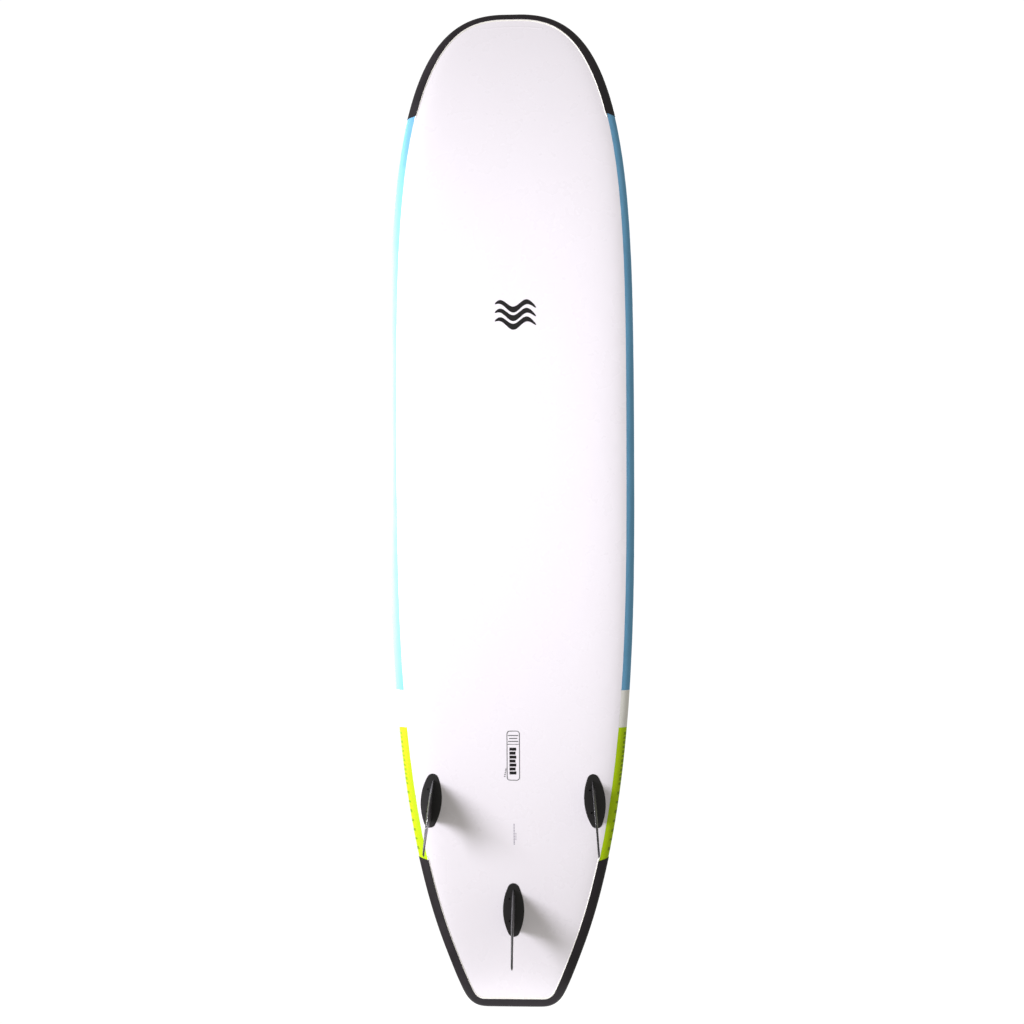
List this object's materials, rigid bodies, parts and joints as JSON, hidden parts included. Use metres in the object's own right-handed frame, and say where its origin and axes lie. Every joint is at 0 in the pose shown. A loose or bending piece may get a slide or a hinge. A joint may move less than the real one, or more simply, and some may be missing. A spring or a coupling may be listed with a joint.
{
  "type": "longboard surfboard",
  "caption": "Soft-top longboard with a foam core, wooden stringers, a slick hull, soft deck skins, rubber nose and tail bumpers, and plug-in fins in oval boxes.",
  "frame": {"origin": "centre of the tail bumper's flat end face, on which the board stands upright", "axes": "+Z from tail to nose; the hull faces -Y and the deck +Y; +X to the left of a rider who stands on the deck facing the nose"},
  "size_m": [0.667, 0.2631, 2.743],
  "materials": {
    "hull_skin": "gloss",
    "deck_blue": "matte",
    "deck_white": "matte",
    "deck_lime": "matte",
    "bumper": "satin",
    "laminate": "satin",
    "stringer": "satin",
    "foam": "matte",
    "fin_box": "satin",
    "fin": "satin",
    "screw_steel": "satin",
    "plug": "satin",
    "steel": "satin",
    "seal": "satin",
    "membrane": "matte"
  },
  "bodies": {
    "board": {"hull_skin": "hull_skin", "deck_skin_main": "deck_blue", "deck_skin_stripe": "deck_white", "deck_skin_tail": "deck_lime", "nose_bumper": "bumper", "tail_bumper": "bumper", "hull_laminate": "laminate", "deck_laminate": "laminate", "stringer_centre": "stringer", "stringer_left": "stringer", "stringer_right": "stringer", "foam_outer_left": "foam", "foam_inner_left": "foam", "foam_inner_right": "foam", "foam_outer_right": "foam", "fin_box_left": "fin_box", "fin_box_right": "fin_box", "fin_box_centre": "fin_box", "fin_screws_left": "screw_steel", "fin_screws_right": "screw_steel", "fin_screws_centre": "screw_steel", "leash_plug_cup": "plug", "leash_plug_bar": "steel", "vent_body": "plug", "vent_screw": "steel", "vent_o_ring": "seal", "vent_membrane": "membrane"},
    "fin_left": {"fin_left": "fin"},
    "fin_right": {"fin_right": "fin"},
    "fin_centre": {"fin_centre": "fin"}
  },
  "joints": [
    {"name": "fin_left_slide", "type": "slide", "parent": "board", "child": "fin_left", "axis": [0.0087, -0.9987, -0.051], "range_m": [0, 0.03]},
    {"name": "fin_right_slide", "type": "slide", "parent": "board", "child": "fin_right", "axis": [-0.0087, -0.9987, -0.051], "range_m": [0, 0.03]},
    {"name": "fin_centre_slide", "type": "slide", "parent": "board", "child": "fin_centre", "axis": [0, -0.9975, -0.0712], "range_m": [0, 0.03]}
  ]
}
